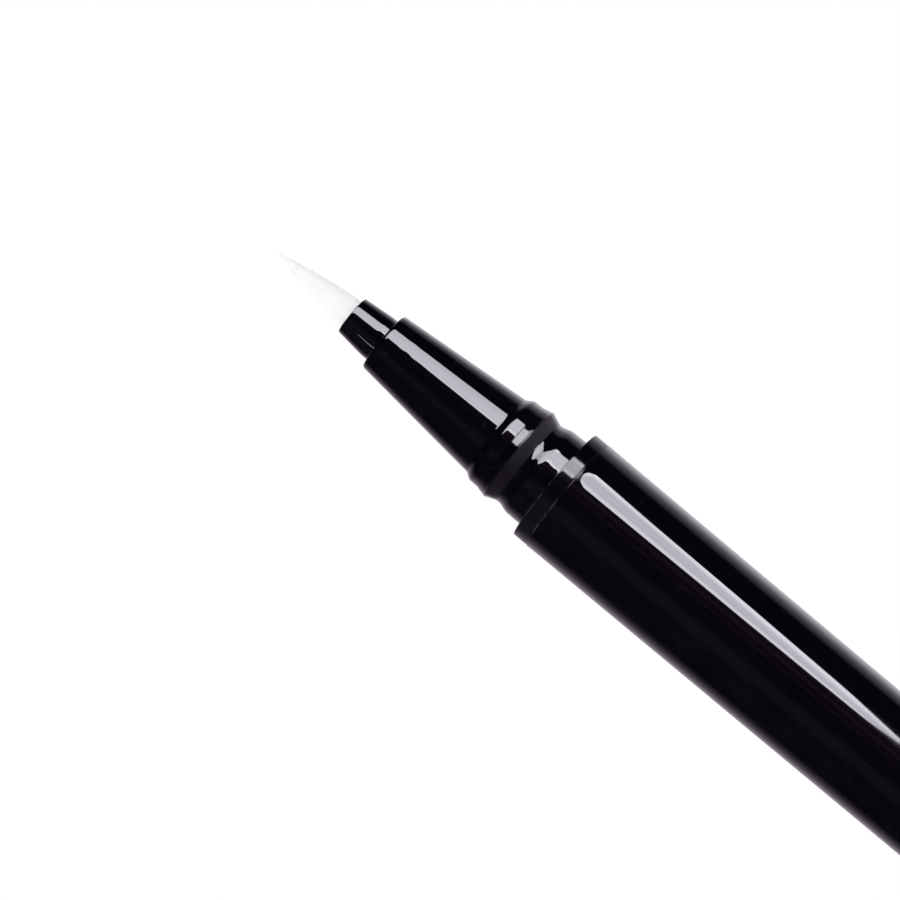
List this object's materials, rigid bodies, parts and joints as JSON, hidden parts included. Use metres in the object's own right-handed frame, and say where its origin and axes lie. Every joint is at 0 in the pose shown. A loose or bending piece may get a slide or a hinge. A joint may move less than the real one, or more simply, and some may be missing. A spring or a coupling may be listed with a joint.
{
  "type": "brush tip eyeliner pen",
  "caption": "Slim black pen with a tapered white brush in a stepped nose, its liquid fed by turning the tail; shown without its cap.",
  "frame": {"origin": "middle of the flat tail that the pen stands on", "axes": "+Z along the pen's axis, from the tail to the brush's tip. Outside, the pen is round, so X and Y have no feature to mark them."},
  "size_m": [0.0106, 0.0106, 0.121],
  "materials": {
    "black_gloss": "polished black moulding",
    "black_satin": "slightly duller black moulding",
    "natural_plastic": "undyed translucent polypropylene",
    "white_plastic": "smooth white acetal",
    "ball_steel": "polished ball",
    "seal_rubber": "matte seal",
    "fibre": "undyed brush fibre"
  },
  "bodies": {
    "case": {"brush_tuft": "fibre", "brush_holder": "black_gloss", "nose_cone": "black_gloss", "neck_collar": "black_gloss", "shoulder_ring": "black_satin", "barrel": "black_gloss", "feed_pipe": "natural_plastic", "pipe_joint": "white_plastic", "ball_seat": "natural_plastic", "seal_ball": "ball_steel", "neck_seal": "seal_rubber", "tank": "natural_plastic", "thread_nut": "white_plastic", "ratchet_ring": "white_plastic"},
    "turning_tail": {"knob": "black_gloss", "drive_sleeve": "white_plastic", "click_ring": "white_plastic"},
    "feed_rod": {"screw_rod": "white_plastic"},
    "pusher": {"piston": "white_plastic", "mixing_ball_1": "ball_steel", "mixing_ball_2": "ball_steel"}
  },
  "joints": [
    {"name": "knob_turn", "type": "hinge", "parent": "case", "child": "turning_tail", "pos_m": [0, 0, 0.012], "axis": [0, 0, 1], "range_deg": [0, 5430], "deforming": ["click_ring"]},
    {"name": "rod_feed", "type": "slide", "parent": "turning_tail", "child": "feed_rod", "axis": [0, 0, 1], "range_m": [0, 0.0302]},
    {"name": "piston_feed", "type": "slide", "parent": "case", "child": "pusher", "axis": [0, 0, 1], "range_m": [0, 0.0302]}
  ],
  "couplings": [
    {"joint": "rod_feed", "follows": "knob_turn", "m_per_rad": 0.00031831},
    {"joint": "piston_feed", "follows": "knob_turn", "m_per_rad": 0.00031831}
  ]
}
